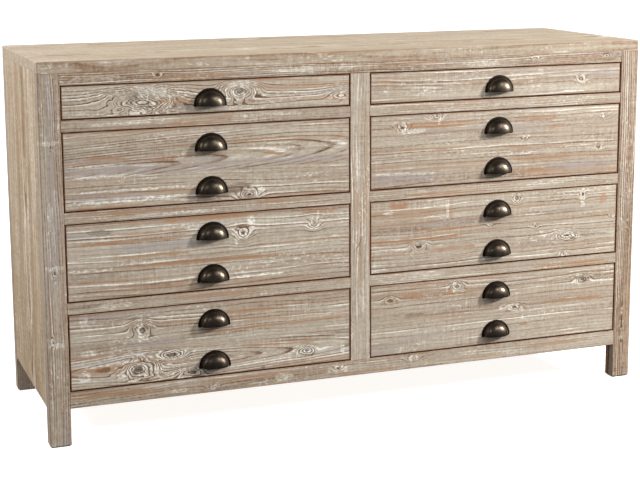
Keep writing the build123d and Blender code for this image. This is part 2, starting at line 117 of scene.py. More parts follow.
def light_room(tree):
    """A bright ceiling over darker walls, and some light from below, as a pale floor gives.

    The camera itself sees plain white behind the floor, and gloss reflects a dimmer room."""
    backdrop = tree.nodes["Background"]
    backdrop.inputs["Color"].default_value = BACKDROP_WHITE
    parts = tree.nodes.new("ShaderNodeSeparateXYZ")
    tree.links.new(tree.nodes.new("ShaderNodeTexCoord").outputs["Generated"], parts.inputs[0])
    glows = []
    above, below = (1.0, WALLS, WALLS + CEILING), (BELOW_REACH, 0.0, FROM_BELOW - WALLS)
    for reach, start, end in (above, below):
        glow = tree.nodes.new("ShaderNodeMapRange")
        glow.interpolation_type = "SMOOTHSTEP"
        glow.inputs["From Min"].default_value = 0.0
        glow.inputs["From Max"].default_value = reach
        glow.inputs["To Min"].default_value, glow.inputs["To Max"].default_value = start, end
        tree.links.new(parts.outputs["Z"], glow.inputs["Value"])
        glows.append(glow)
    both = tree.nodes.new("ShaderNodeMath")
    for glow, socket in zip(glows, both.inputs):
        tree.links.new(glow.outputs["Result"], socket)
    path = tree.nodes.new("ShaderNodeLightPath")
    dimmed = tree.nodes.new("ShaderNodeMix")
    tree.links.new(path.outputs["Is Glossy Ray"], dimmed.inputs[0])
    tree.links.new(both.outputs[0], dimmed.inputs[2])
    dimmed.inputs[3].default_value = IN_GLOSS
    seen = tree.nodes.new("ShaderNodeMix")
    tree.links.new(path.outputs["Is Camera Ray"], seen.inputs[0])
    tree.links.new(dimmed.outputs[0], seen.inputs[2])
    seen.inputs[3].default_value = 1.0
    tree.links.new(seen.outputs[0], backdrop.inputs["Strength"])


light_room(room.node_tree)
bpy.context.scene.view_settings.view_transform = "Standard"


# Top board
# Four planks of old pine glued edge to edge and cut flush all round, wire-brushed, limed and waxed.
# The wax leaves the top warm and smooth. Its front edge keeps more of the lime.


class Field:
    """A value that changes over a surface. It stands for one socket of a shader tree."""

    def __init__(self, socket):
        self.socket = socket

    def __add__(self, other):
        return maths("ADD", self, other)

    def __radd__(self, other):
        return maths("ADD", other, self)

    def __sub__(self, other):
        return maths("SUBTRACT", self, other)

    def __rsub__(self, other):
        return maths("SUBTRACT", other, self)

    def __mul__(self, other):
        return maths("MULTIPLY", self, other)

    def __rmul__(self, other):
        return maths("MULTIPLY", other, self)

    def __truediv__(self, other):
        return maths("DIVIDE", self, other)

    def parts(self):
        """The three numbers of a vector."""
        split = step(self.socket.id_data, "SeparateXYZ", [self])
        return [Field(socket) for socket in split.outputs]


def step(tree, kind, values, **settings):
    """Adds one node with its settings, and fills its inputs with numbers or fields."""
    made = tree.nodes.new("ShaderNode" + kind)
    for name, value in settings.items():
        setattr(made, name, value)
    for key, value in values.items() if isinstance(values, dict) else enumerate(values):
        if isinstance(value, Field):
            tree.links.new(value.socket, made.inputs[key])
        else:
            made.inputs[key].default_value = value
    return made


def tree_of(*values):
    """The tree that the first field among the values belongs to."""
    return next(value.socket.id_data for value in values if isinstance(value, Field))


def maths(operation, *values):
    """One sum, such as ADD or POWER, on fields and numbers."""
    return Field(step(tree_of(*values), "Math", values, operation=operation).outputs[0])


def most(*values):
    """The largest of some fields."""
    largest = values[0]
    for value in values[1:]:
        largest = maths("MAXIMUM", largest, value)
    return largest


def vector(*values):
    """Three numbers made one vector."""
    return Field(step(tree_of(*values), "CombineXYZ", values).outputs[0])


def ramp(value, low, high):
    """0 below low and 1 above high, with a soft climb between."""
    values = {"Value": value, "From Min": low, "From Max": high}
    made = step(tree_of(value), "MapRange", values, interpolation_type="SMOOTHSTEP")
    return Field(made.outputs[0])


def noise(place, grains, detail=2.0, roughness=0.55):
    """Soft noise from 0 to 1, with so many grains a metre along, across and deep."""
    tree = tree_of(place)
    scaled = Field(step(tree, "VectorMath", [place, grains], operation="MULTIPLY").outputs[0])
    values = {"Vector": scaled, "Scale": 1.0, "Detail": detail, "Roughness": roughness}
    return Field(step(tree, "TexNoise", values).outputs[0])


def chance(value):
    """A number from 0 to 1 that only depends on the value, as if it were drawn."""
    made = step(tree_of(value), "TexWhiteNoise", {"W": value}, noise_dimensions="1D")
    return Field(made.outputs[0])


def tint(under, over, share):
    """A colour with a share of another laid over it."""
    made = step(tree_of(share), "Mix", {0: share, 6: under, 7: over}, data_type="RGBA")
    return Field(made.outputs[2])


def paint(red, green, blue):
    """A colour as a painter mixes it, from 0 to 255, made linear for the shader."""
    def linear(value):
        value /= 255
        return value / 12.92 if value <= 0.04045 else ((value + 0.055) / 1.055) ** 2.4

    return linear(red), linear(green), linear(blue), 1.0


SOCKETS = {"number": "NodeSocketFloat", "vector": "NodeSocketVector", "colour": "NodeSocketColor"}
FINISH = {"Colour": "colour", "Roughness": "number", "Height": "number"}


def recipe(name, inputs, outputs):
    """A new shader group. Returns its tree, the fields of its inputs and its output node."""
    tree = bpy.data.node_groups.new(name, "ShaderNodeTree")
    for label, value in inputs.items():
        kind = "vector" if isinstance(value, tuple) else "number"
        socket = tree.interface.new_socket(label, in_out="INPUT", socket_type=SOCKETS[kind])
        socket.default_value = value
    for label, kind in outputs.items():
        tree.interface.new_socket(label, in_out="OUTPUT", socket_type=SOCKETS[kind])
    entry, end = tree.nodes.new("NodeGroupInput"), tree.nodes.new("NodeGroupOutput")
    return [Field(entry.outputs[label]) for label in inputs], end


def hand_out(end, **results):
    """Joins a group's results to its outputs."""
    for label, field in results.items():
        end.id_data.links.new(field.socket, end.inputs[label])
    return end.id_data


def shared(tree, group, values):
    """One use of a shader group. Returns its results by name."""
    made = step(tree, "Group", values, node_tree=group)
    return {socket.name: Field(socket) for socket in made.outputs}


def rings_recipe():
    """Growth rings, counted outwards from the pith, as whichever face is seen cuts them."""
    given, end = recipe("Pine rings", {
        "Place": (0, 0, 0), "Lift": 0.0, "Heart": 0.0, "Pith": 0.05, "Rise": 0.0, "Tilt": 0.0,
        "Wander": 0.01, "Ring Width": 0.005,
    }, {"Rings": "number"})
    place, lift, heart, pith, rise, tilt, wander, width = given
    along, across, deep = place.parts()
    sway = (noise(place, (1.1, 3.5, 3.5)) - 0.5) * wander * 4
    quiver = (noise(place, (5, 30, 30), 1) - 0.5) * wander * 0.7
    swell = (noise(place, (1.6, 1.2, 1.2)) - 0.5) * wander * 5
    side = across - heart - along * tilt + sway + quiver
    far = deep + pith + along * rise + swell
    return hand_out(end, Rings=maths("SQRT", side * side + far * far) / width + lift)


def knot_recipe():
    """A knot: the grain flows round it, rings close about it, and lime fills its cracks."""
    given, end = recipe("Knot", {
        "Place": (0, 0, 0), "Lift": 0.0, "Core": 0.0, "Halo": 0.0,
        "Along": 0.0, "Across": 0.0, "Length": 0.05, "Width": 0.02, "Loops": 3.0,
    }, {"Place": "vector", "Lift": "number", "Core": "number", "Halo": "number"})
    place, lift, core, halo, at, height, length, width, loops = given
    along, across, deep = place.parts()
    u = (along - at) / length
    v = (across - height) / width
    rough = noise(place, (22, 34, 20), 2, 0.5) - 0.5
    reach = u * u + v * v
    bump = maths("EXPONENT", reach * -1)
    eye = maths("EXPONENT", (reach + rough * maths("MINIMUM", reach, 0.7) * 2.6) * -1.8)
    warp = noise(place, (50, 50, 20), 2) - 0.5
    crack = maths("SINE", (along * 0.8 + across * 0.75) / 0.0014 + warp * 10)
    crack = ramp(crack, 0.45, 0.9) * (1 - ramp(reach + rough * 1.2, 0.06, 0.26))
    middle = (1 - ramp(reach + rough * 0.3, 0.006, 0.05)) * 0.8
    bent = vector(along, across - v * width * bump * 0.85, deep)
    return hand_out(
        end, Place=bent, Lift=lift + eye * loops, Core=most(core, middle, crack * 0.7),
        Halo=most(halo, bump),
    )


def stroke_recipe():
    """A long soft mark that follows the grain, with ragged ends and edges."""
    given, end = recipe("Stroke", {
        "Place": (0, 0, 0), "Ragged": 0.5, "Mark": 0.0, "Along": 0.0, "Across": 0.0,
        "Length": 0.1, "Height": 0.01, "Slope": 0.0, "Strength": 1.0,
    }, {"Mark": "number"})
    place, ragged, mark, at, height, length, tall, slope, strength = given
    along, across, _ = place.parts()
    u = (along - at) / length * 2
    v = (across - height - (along - at) * slope) / tall * 2
    inside = 1 - u * u * u * u - v * v + (ragged - 0.5) * 4.2
    return hand_out(end, Mark=most(mark, ramp(inside, 0.0, 0.6) * strength))


def arris_recipe():
    """How far a point of a squared piece is from its nearest edge, in metres."""
    given, end = recipe("Arris", {
        "Position": (0, 0, 0), "Low": (0, 0, 0), "High": (0, 0, 0),
    }, {"Distance": "number"})
    position, low, high = (field.parts() for field in given)
    x, y, z = (
        maths("MINIMUM", at - near, far - at) for at, near, far in zip(position, low, high)
    )
    larger = maths("MAXIMUM", maths("MINIMUM", x, y), z)
    return hand_out(end, Distance=maths("MINIMUM", maths("MAXIMUM", x, y), larger))


def shades(value, stops):
    """A colour that climbs through the stops as the value goes from 0 to 1."""
    made = step(tree_of(value), "ValToRGB", [value])
    points = made.color_ramp.elements
    for point, (at, colour) in zip(points, (stops[0], stops[-1])):
        point.position, point.color = at, paint(*colour)
    for at, colour in stops[1:-1]:
        points.new(at).color = paint(*colour)
    return Field(made.outputs[0])


LIMED_SHADES = (
    (0.0, (94, 71, 54)), (0.18, (128, 105, 85)), (0.34, (150, 134, 117)), (0.48, (164, 152, 136)),
    (0.62, (176, 166, 151)), (0.76, (195, 187, 174)), (1.0, (228, 223, 214)),
)


def limed_recipe():
    """Old pine, wire-brushed, limed, rubbed back and waxed."""
    given, end = recipe("Limed pine", {
        "Place": (0, 0, 0), "Rings": 0.0, "Core": 0.0, "Halo": 0.0, "Tone": 0.5, "Depth": 1.0,
        "Lines": 0.6, "Lime": 0.5, "Grey": 0.4, "Red": 0.4, "Warm": 0.0, "White Marks": 0.0,
        "Grey Marks": 0.0, "Red Marks": 0.0, "Dark Marks": 0.0, "Worn And Shaded": 0.0, "Raw": 0.0,
    }, FINISH)
    (place, rings, core, halo, tone, depth, lines, lime, grey, red, warm,
     white_marks, grey_marks, red_marks, dark_marks, worn_and_shaded, raw) = given
    drift = noise(place, (0.9, 11, 11), 2) - 0.5
    band = noise(place, (1.8, 40, 40), 2) - 0.5
    thread = noise(place, (2.2, 110, 110), 2, 0.5) - 0.5
    hair = noise(place, (9, 230, 230), 2, 0.6) - 0.5
    tooth = noise(place, (110, 180, 180), 2, 0.7) - 0.5
    saw = (noise(place, (290, 20, 20), 1) - 0.5) * ramp(noise(place, (5, 16, 16), 1), 0.50, 0.62)
    smear = noise(place, (60, 8, 8), 2) - 0.5
    patch = noise(place, (6, 26, 26), 2) - 0.5
    streak = noise(place, (7, 150, 150), 3, 0.65) - 0.5

    shaken = rings + (noise(place, (9, 60, 60), 1) - 0.5) * 0.4
    whole = maths("FLOOR", shaken)
    phase = shaken - whole
    late = ramp(phase, 0.55, 0.86) * (1 - ramp(phase, 0.90, 0.99))
    early = ramp(phase, 0.02, 0.12) * (1 - ramp(phase, 0.25, 0.42))
    strong = chance(whole)
    line = late * (strong * 0.85 + 0.15 + halo * 0.5) * ramp(streak + halo * 0.3, -0.18, 0.02)
    line = line * (lines + halo * 0.35)

    likely = chance(whole + 0.5) * 0.30 + patch * 0.5 + streak * 1.1 + lime * 0.22 + halo * 0.08
    white_line = early * ramp(likely, 0.28, 0.42)
    flecks = ramp(tooth + halo * 0.08, 0.09, 0.14)
    flecks = flecks * ramp(patch + halo * 0.24 + lime * 0.1, 0.06, 0.16)
    whiteness = most(white_line, flecks * 0.7, ramp(streak + patch * 0.5, 0.20, 0.28) * 0.6)
    brushed_out = white_marks * (0.92 + tooth * 3.0 + streak * 1.6)
    whiteness = most(whiteness, brushed_out) * (1 - line * 0.6)

    crease = (1 - ramp(streak, -0.24, -0.13)) * ramp(patch + thread, -0.12, 0.10)
    value = drift * 0.20 + band * 0.40 + thread * 0.42 + hair * 0.36 + tooth * 0.52 + smear * 0.15
    value = value + saw * 0.34 - line * 0.66 - crease * 0.36 + whiteness * 0.36 + halo * 0.04
    ground = shades(value * depth + (tone - 0.5) * 0.5 + 0.44, LIMED_SHADES)

    vein = noise(place, (2.4, 125, 125), 2, 0.55) - 0.5
    redness = ramp(vein + red * 0.14, 0.12, 0.20)
    redness = most(redness * 0.58, red_marks * 1.15) * (1 - whiteness * 0.6)
    ground = tint(ground, paint(154, 112, 78), redness * (0.64 + hair * 1.4 + tooth * 0.8))
    cloud = noise(place, (2.0, 26, 26), 2, 0.6) - 0.5
    greyness = most(ramp(cloud + grey * 0.10, 0.14, 0.24) * 0.7, grey_marks)
    ground = tint(ground, paint(146, 138, 138), greyness * (0.50 + hair * 2.0 + tooth))
    # Dark marks are streaks in the wood; on one front one is partly a painted pull shadow.
    ground = tint(ground, paint(96, 76, 60), dark_marks * (0.6 + hair * 2.0))
    ground = tint(ground, paint(196, 160, 108), warm)

    ground = tint(ground, paint(70, 54, 43), core * 0.85)
    # Worn edges turn brown; their thin line beside the gaps is also painted shade.
    ground = tint(ground, paint(132, 94, 68), worn_and_shaded * (0.85 + tooth * 1.5))
    # Close behind the face the bare wood turns dark brown: painted shade in the gaps, with dust.
    bare = tint(paint(172, 132, 94), paint(84, 54, 38), ramp(raw, 0.65, 1.0))
    ground = tint(ground, tint(bare, paint(110, 76, 52), ramp(hair, 0.0, 0.15) * 0.5),
                  ramp(raw, 0.0, 0.6))
    return hand_out(
        end, Colour=ground, Roughness=0.70 + whiteness * 0.15 - line * 0.06,
        Height=hair * 0.6 + tooth * 0.5 + thread * 0.4 + whiteness * 0.3 - line * 0.5 - core * 1.2,
    )


PINE_RINGS, KNOT, STROKE = rings_recipe(), knot_recipe(), stroke_recipe()
ARRIS, LIMED_PINE = arris_recipe(), limed_recipe()
BRUSHED_RELIEF = 0.5 * MM
SEED_STEP, BOARD_STEP = 7.3, 2.9
PLAIN_GRAIN = {
    "Heart": 0.0, "Pith": 0.08, "Rise": 0.0, "Tilt": 0.0, "Wander": 0.01, "Ring Width": 0.005,
}


def new_material(name):
    """An empty material with the piece's own position as a field."""
    material = bpy.data.materials.new(name)
    material.use_nodes = True
    position = Field(step(material.node_tree, "TexCoord", {}).outputs["Object"])
    return material, position


def finish(material, colour, roughness, height, relief, sheen=0.25):
    """Joins a finish's fields to the material's own shader."""
    tree = material.node_tree
    shader = tree.nodes["Principled BSDF"]
    tree.links.new(colour.socket, shader.inputs["Base Color"])
    tree.links.new(roughness.socket, shader.inputs["Roughness"])
    bump = step(tree, "Bump", {"Height": height, "Distance": relief})
    tree.links.new(bump.outputs["Normal"], shader.inputs["Normal"])
    shader.inputs["Specular IOR Level"].default_value = sheen


def by_board(across, seams, values):
    """The value of the board that a point is in, counted up across the seams."""
    if not isinstance(values, (list, tuple)):
        return values
    total = values[0]
    for seam, before, after in zip(seams, values, values[1:]):
        total = maths("GREATER_THAN", across, seam) * (after - before) + total
    return total


def add_knots(tree, place, knots):
    """Bends the grain round each knot. A knot's sizes are in millimetres."""
    fields = {"Place": place, "Lift": 0.0, "Core": 0.0, "Halo": 0.0}
    for at, height, length, width, loops in knots:
        fields = shared(tree, KNOT, {
            **fields, "Along": at * MM, "Across": height * MM, "Length": length * MM,
            "Width": width * MM, "Loops": loops,
        })
    return fields


def add_strokes(tree, place, strokes):
    """The marks of each colour. Sizes are in millimetres, and few strokes have a slope."""
    ragged = noise(place, (34, 190, 190), 3, 0.7)
    marks = {}
    for colour in ("white", "grey", "red", "dark"):
        mark = 0.0
        for at, height, length, tall, strength, *slope in strokes.get(colour, ()):
            mark = shared(tree, STROKE, {
                "Place": place, "Ragged": ragged, "Mark": mark, "Along": at * MM,
                "Across": height * MM, "Length": length * MM,
                "Height": (tall * 1.15 + 1.5) * MM, "Slope": slope[0] if slope else 0.0,
                "Strength": strength,
            })["Mark"]
        marks[colour.capitalize() + " Marks"] = mark
    return marks


def limed_pine(name, way, seed, grain, seams=(), knots=(), strokes=None, wear_and_shade=None, face=0.0,
               sheen=0.25, **looks):
    """The finish of a board, or of boards glued side by side along the seams.

    way names the axes that run along, across and deep, which is counted from the face. Knots
    and strokes are in millimetres. A value of the grain or the looks is one number, or a list
    with one for each board. A look may also be worked out from the position, and so are the
    marks that wear leaves, with the painted shade along the gaps."""
    material, position = new_material(name)
    tree = material.node_tree
    axes = dict(zip("XYZ", position.parts()))
    along, across, deep = (axes[axis] for axis in way)
    place = vector(along, across, deep - face)
    fields = add_knots(tree, place, knots)
    marks = add_strokes(tree, place, strokes or {})
    jumps = [seed * SEED_STEP + BOARD_STEP * board for board in range(len(seams) + 1)]
    jump = by_board(across, seams, jumps)
    offset = vector(along * 0 + jump, jump * 0.37 + along * 0, along * 0 + jump * 0.21)
    moved = Field(step(tree, "VectorMath", [fields["Place"], offset], operation="ADD").outputs[0])
    rings = {"Place": fields["Place"], "Lift": fields["Lift"]}
    for label, value in {**PLAIN_GRAIN, **grain}.items():
        rings[label] = by_board(across, seams, value)
    values = {"Place": moved, **shared(tree, PINE_RINGS, rings), **marks}
    for label, value in looks.items():
        value = value(position) if callable(value) else value
        values[label] = by_board(across, seams, value)
    values.update({"Core": fields["Core"], "Halo": fields["Halo"]})
    if wear_and_shade is not None:
        values.update(wear_and_shade(position))
    finish(material, *shared(tree, LIMED_PINE, values).values(), BRUSHED_RELIEF, sheen)
    return material


def dress(node, material):
    """Gives a piece of the chest its finish."""
    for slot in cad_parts[node].material_slots:
        slot.material = material


FRONT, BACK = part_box("top_board")[0].y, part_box("top_board")[1].y
TOP_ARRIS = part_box("top_board")[1].z - 1.5 * MM
TOP_SEAMS = [FRONT + share * MM for share in (118, 252, 376)]


def top_edge(flat, edge):
    """A look that has one value on the flat of the top and another on its front edge."""
    def value(position):
        front = 1 - ramp(position.parts()[1], FRONT + 0.5 * MM, FRONT + 3.5 * MM)
        return front * (edge - flat) + flat

    return value


def top_wear(position):
    """A thin worn line along the top's front arris."""
    _, y, z = position.parts()
    near = maths("ABSOLUTE", y - FRONT - 0.5 * MM) + maths("ABSOLUTE", z - TOP_ARRIS) * 0.6
    ragged = ramp(noise(position, (14, 60, 60), 3, 0.6), 0.44, 0.56)
    return {"Worn And Shaded": (1 - ramp(near, 0.8 * MM, 2.4 * MM)) * (ragged * 0.4 + 0.35)}


dress("top_board", limed_pine(
    "limed top", "XYZ", 1,
    {"Heart": [-0.45, -0.09, 0.30, 0.19], "Pith": 0.06, "Rise": [0.0, 0.05, 0.0, -0.04],
     "Ring Width": 0.009},
    TOP_SEAMS, wear_and_shade=top_wear, face=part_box("top_board")[1].z, sheen=0.05,
    Tone=top_edge(0.76, 0.48), Depth=top_edge(0.8, 1.0), Lines=0.8,
    Lime=top_edge(0.2, 0.35), Grey=top_edge(0.0, 0.7), Red=top_edge(0.1, 0.25),
    Warm=top_edge(0.14, 0.05),
))


# Side panels
# Three upright planks a side, glued edge to edge and tongued into the posts. They are limed like
# the top, and calmer than the drawers.

PANEL_SEAMS = [FRONT + share * MM for share in (152, 305)]
SIDE_STROKES = {
    "red": [(460, -90.5, 1000, 6, 1.0), (460, 62.5, 1000, 5, 0.9), (700, 20, 260, 7, 0.8, 0.01),
            (250, 150, 300, 8, 0.7), (640, -180, 340, 8, 0.7), (330, -190, 300, 7, 0.7)],
    "dark": [(460, -90.5, 1000, 3, 0.9), (460, 62.5, 1000, 2, 0.7)],
    "white": [(420, -40, 300, 10, 0.5), (640, -130, 300, 10, 0.4)],
}


def side_tone(lowest):
    """A side panel is darker towards the floor."""
    return lambda position: ramp(position.parts()[2], 0.0, 0.9) * 0.22 + lowest


# The right panel is darker and less warm than the left: painted shade against the key lamp on it.
SIDE_LOOKS = {"left_side_panel": (0.47, 1.8, 0.26), "right_side_panel": (0.30, 1.3, 0.14)}
for number, (node, (tone, depth, warm)) in enumerate(SIDE_LOOKS.items()):
    dress(node, limed_pine(
        node.replace("_", " "), "ZYX", 3 + number,
        {"Heart": [-0.40, -0.02, 0.40], "Pith": 0.06, "Rise": [0.0, -0.05, 0.0],
         "Ring Width": 0.009},
        PANEL_SEAMS, strokes=SIDE_STROKES, face=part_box(node)[number].x, Tone=side_tone(tone),
        Depth=depth, Lines=1.2, Lime=0.35, Grey=0.2, Red=0.45, Warm=warm,
    ))


# Posts, rails and centre stile
# The frame is squared and tenoned together before it is limed. The brush leaves long grey and
# white streaks on it.

INNER_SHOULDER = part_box("front_right_post")[0].x + 0.5 * MM
RAIL_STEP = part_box("left_drawer_2_front")[0].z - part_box("left_drawer_3_front")[0].z
RAIL_HEIGHT = 27.5 * MM
LEG_CLEARANCE, BARE_ABOVE = 93 * MM, 100 * MM


def worn_and_shaded_arrises(position, place, low, high, grains, reach, ragged_from, line, strength):
    """Hand-rubbed edges: a ragged band, and a thin line along each that is partly painted shade."""
    values = {"Position": place, "Low": tuple(low), "High": tuple(high)}
    near = shared(tree_of(position), ARRIS, values)["Distance"]
    coarse, fine = grains
    ragged = noise(position, (coarse,) * 3, 3, 0.6) + noise(position, (fine,) * 3, 1) * 0.4
    band = ramp(ragged, ragged_from, ragged_from + 0.18)
    band = (1 - ramp(near, 0.8 * MM, reach * MM)) * band
    # The thin line along each edge is worn wood and also painted shade that widens the gaps.
    return most(band, (1 - ramp(near, line[0] * MM, line[1] * MM)) * strength)


def bare_wood_and_gap_shade(y, face, start, dust_and_shade_reach):
    """Bare wood behind a face, in the gaps, darker near the front with painted shade and dust."""
    bare = ramp(y, face + start * MM, face + (start + 1.2) * MM)
    return bare * (1 - ramp(y, face + dust_and_shade_reach * MM, face + (dust_and_shade_reach + 4) * MM) * 0.4)


def frame_wear_and_shade(node, step_up=0.0, inside=None):
    """The worn arrises and bare gap faces of a frame piece, with painted shade along the gaps.

    step_up is the way from one rail to the next where the node holds several, and inside says
    which part of the piece faces a drawer."""
    low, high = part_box(node)

    def marks(position):
        x, y, z = position.parts()
        top = high.z
        if step_up:
            z = z - maths("FLOOR", (z - low.z) / step_up) * step_up
            top = low.z + RAIL_HEIGHT
        worn_and_shaded = worn_and_shaded_arrises(
            position, vector(x, y, z), low, (high.x, high.y, top), (22, 110), 3.2, 0.62,
            (0.5, 1.8), 0.65,
        )
        bare = bare_wood_and_gap_shade(y, FRONT, 0.8, 6)
        if inside is not None:
            bare = bare * inside(x, y, z)
        return {"Worn And Shaded": worn_and_shaded, "Raw": bare}

    return marks


def beside_drawers(x, y, z):
    """The part of a front post that faces the drawers, above its leg."""
    inner = 1 - maths("GREATER_THAN", maths("ABSOLUTE", x), INNER_SHOULDER)
    return inner * maths("GREATER_THAN", z, LEG_CLEARANCE)


POST_LOOKS = {
    "front_left_post": dict(Tone=0.45, Depth=0.95, Lime=0.6, Grey=1.1, Red=0.2),
    "front_right_post": dict(Tone=0.26, Depth=1.0, Lime=0.6, Grey=0.3, Red=0.4),
    "back_left_post": dict(Tone=0.52, Depth=0.9, Lime=0.4, Grey=0.4, Red=0.3),
    "back_right_post": dict(Tone=0.52, Depth=0.9, Lime=0.4, Grey=0.4, Red=0.3),
}
POST_KNOTS = {
    "front_left_post": [(719, -762, 16, 7, 2), (424, -763, 18, 8, 3), (259, -772, 16, 7, 2)],
    "front_right_post": [(424, 767, 18, 8, 2), (150, 760, 60, 9, 2)],
}
POST_STROKES = {
    "front_left_post": {
        "white": [(727, -764, 12, 44, 0.9), (434, -764, 14, 46, 0.9), (250, -766, 12, 40, 0.8),
                  (560, -770, 60, 12, 0.7), (600, -756, 40, 8, 0.6)],
        "dark": [(330, -778, 240, 4, 0.4)],
    },
}
for number, (node, looks) in enumerate(POST_LOOKS.items()):
    inside = beside_drawers if node.startswith("front") else (lambda x, y, z: x * 0)
    face = FRONT if node.startswith("front") else BACK
    dress(node, limed_pine(
        node.replace("_", " "), "ZXY", 6 + number, {"Heart": 0.3, "Ring Width": 0.006}, (),
        POST_KNOTS.get(node, ()), POST_STROKES.get(node), frame_wear_and_shade(node, inside=inside), face,
        Lines=0.6, **looks,
    ))
STILE_STROKES = {
    "dark": [(434, -2, 44, 3, 1.0, 0.5)],
    "white": [(300, 6, 90, 14, 0.45), (620, -8, 120, 12, 0.4)],
    "red": [(540, 10, 120, 4, 0.6)],
}
dress("centre_stile", limed_pine(
    "centre stile", "ZXY", 10, {"Heart": 0.1, "Ring Width": 0.006}, (), (), STILE_STROKES,
    frame_wear_and_shade("centre_stile"), FRONT, Tone=0.68, Lines=0.45, Lime=0.6, Grey=0.7, Red=0.4,
    Depth=1.0,
))


def rail_tone(position):
    """The top rail's left half has kept more dirt."""
    return ramp(position.parts()[0], -0.6, 0.4) * 0.13 + 0.29


RAIL_LOOKS = {
    "top_rail": dict(Tone=rail_tone, Depth=1.1, Lime=0.6, Grey=0.7, Red=0.2),
    "bottom_rail": dict(Tone=0.54, Depth=0.95, Lime=0.5, Grey=0.2, Red=0.4),
    "left_drawer_rails": dict(Tone=0.52, Depth=0.9, Lime=0.5, Grey=0.3, Red=0.25),
    "right_drawer_rails": dict(Tone=0.55, Depth=0.9, Lime=0.5, Grey=0.3, Red=0.3),
}
RAIL_KNOTS = {
    "top_rail": [(-507, 873, 16, 7, 2), (482, 876, 14, 7, 2), (692, 876, 14, 7, 2)],
    "bottom_rail": [(-387, 106, 20, 10, 3), (147, 120, 26, 12, 3), (-60, 116, 20, 9, 2)],
}
RAIL_STROKES = {
    "top_rail": {
        "white": [(-650, 871, 120, 12, 0.5), (-150, 872, 140, 14, 0.5), (330, 869, 120, 12, 0.5)],
        "red": [(-420, 868, 260, 6, 0.8), (120, 877, 260, 5, 0.5), (610, 872, 200, 5, 0.4)],
    },
    "bottom_rail": {
        "red": [(-640, 119, 220, 10, 0.8), (-290, 122, 260, 7, 0.8), (560, 118, 200, 8, 0.7),
                (20, 101, 200, 6, 0.6)],
        "white": [(-480, 107, 70, 8, 0.8), (-205, 110, 50, 20, 0.9), (-60, 114, 60, 16, 0.9),
                  (150, 122, 30, 18, 1.0), (420, 108, 80, 10, 0.5), (300, 119, 60, 12, 0.6)],
    },
    "left_drawer_rails": {
        "white": [(-600, 764, 160, 6, 0.8), (-240, 768, 180, 6, 0.8), (-480, 545, 240, 6, 0.9),
                  (-620, 334, 90, 12, 0.8)],
        "red": [(-420, 757, 200, 6, 0.8), (-560, 554, 260, 5, 0.9), (-180, 556, 200, 5, 0.8),
                (-350, 340, 220, 5, 0.6)],
    },
    "right_drawer_rails": {
        "red": [(150, 770, 160, 5, 0.6), (250, 545, 260, 7, 0.9), (600, 330, 220, 7, 0.8)],
        "white": [(420, 764, 160, 10, 0.4), (520, 552, 120, 12, 0.5), (180, 336, 110, 12, 0.5)],
    },
}
for number, (node, looks) in enumerate(RAIL_LOOKS.items()):
    step_up = RAIL_STEP if "drawer" in node else 0.0
    above = (lambda x, y, z: maths("GREATER_THAN", z, BARE_ABOVE)) if "bottom" in node else None
    dress(node, limed_pine(
        node.replace("_", " "), "XZY", 12 + number, {"Heart": -0.1, "Pith": 0.2}, (),
        RAIL_KNOTS.get(node, ()), RAIL_STROKES[node], frame_wear_and_shade(node, step_up, above), FRONT,
        Lines=0.5, **looks,
    ))


# Drawer fronts
# Each front is its own board, or two glued edge to edge, with the knots and streaks it grew.
# The brown of the bare pine shows where the brush did not reach, at its ends and in the gaps.

# Just behind each face the bare wood in the gaps is painted darker, as shade.
FRONT_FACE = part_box("left_drawer_1_front")[0].y
LOWER_PLANK = 75.5 * MM


def front_wear_and_shade(node):
    """A front's worn edges and bare hidden faces, with painted shade and dust along the gap."""
    low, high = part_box(node)

    def marks(position):
        worn_and_shaded = worn_and_shaded_arrises(
            position, position, low, high, (30, 130), 3.0, 0.58, (1.0, 3.4), 0.85,
        )
        return {"Worn And Shaded": worn_and_shaded, "Raw": bare_wood_and_gap_shade(position.parts()[1], FRONT_FACE, 1.0, 5)}

    return marks


